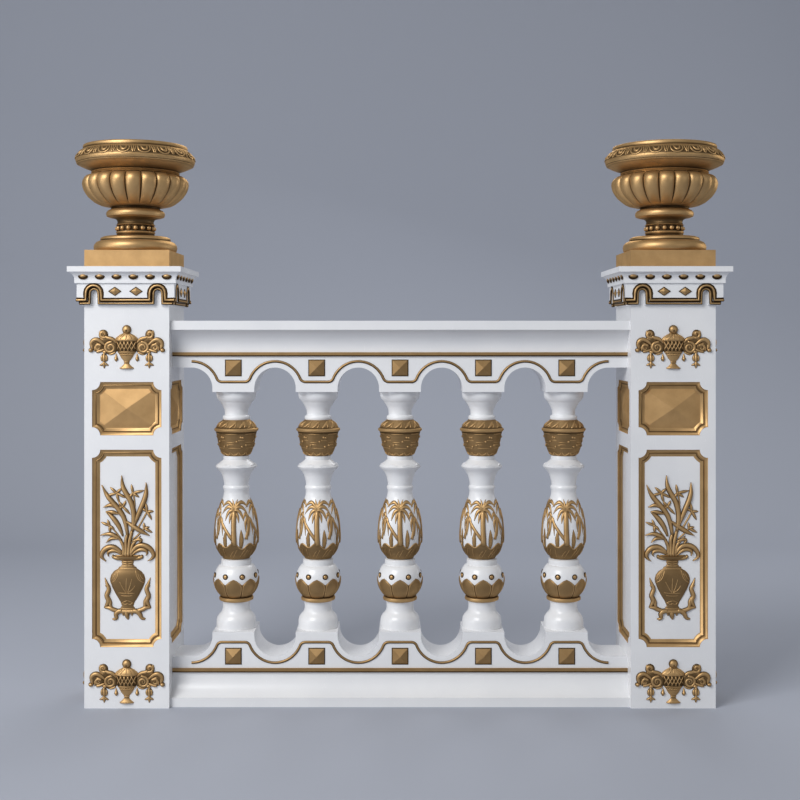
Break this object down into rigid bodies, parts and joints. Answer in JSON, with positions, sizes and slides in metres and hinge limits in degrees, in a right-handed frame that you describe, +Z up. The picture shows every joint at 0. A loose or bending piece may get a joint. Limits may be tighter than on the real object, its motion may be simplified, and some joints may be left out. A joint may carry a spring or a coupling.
{
  "type": "concrete balustrade bay",
  "caption": "Concrete balustrade bay: turned balusters between arched rails and square posts with panels, capitals and gadrooned urns, painted white and gold.",
  "frame": {"origin": "on the ground under the middle of the bay, between the two posts", "axes": "+X along the rails towards the right-hand post, +Y to the back, +Z up"},
  "size_m": [1.8078, 0.3278, 1.538],
  "materials": {
    "white_paint": "gloss",
    "gold_paint": "satin"
  },
  "bodies": {
    "root": {"baluster_baskets": "gold_paint", "baluster_bodies": "white_paint", "baluster_cups": "gold_paint", "baluster_feet": "white_paint", "baluster_heads": "white_paint", "bottom_rail": "white_paint", "bottom_rail_fillets": "gold_paint", "bottom_rail_studs": "gold_paint", "left_capital": "white_paint", "left_cartouches": "gold_paint", "left_post_shaft": "white_paint", "left_pyramid_bosses": "gold_paint", "left_urn_plinth": "gold_paint", "left_vase_reliefs": "gold_paint", "right_capital": "white_paint", "right_cartouches": "gold_paint", "right_post_shaft": "white_paint", "right_pyramid_bosses": "gold_paint", "right_urn_plinth": "gold_paint", "right_vase_reliefs": "gold_paint", "top_rail": "white_paint", "top_rail_fillets": "gold_paint", "top_rail_studs": "gold_paint", "urn_bowls": "gold_paint", "urn_feet": "gold_paint"}
  },
  "joints": []
}
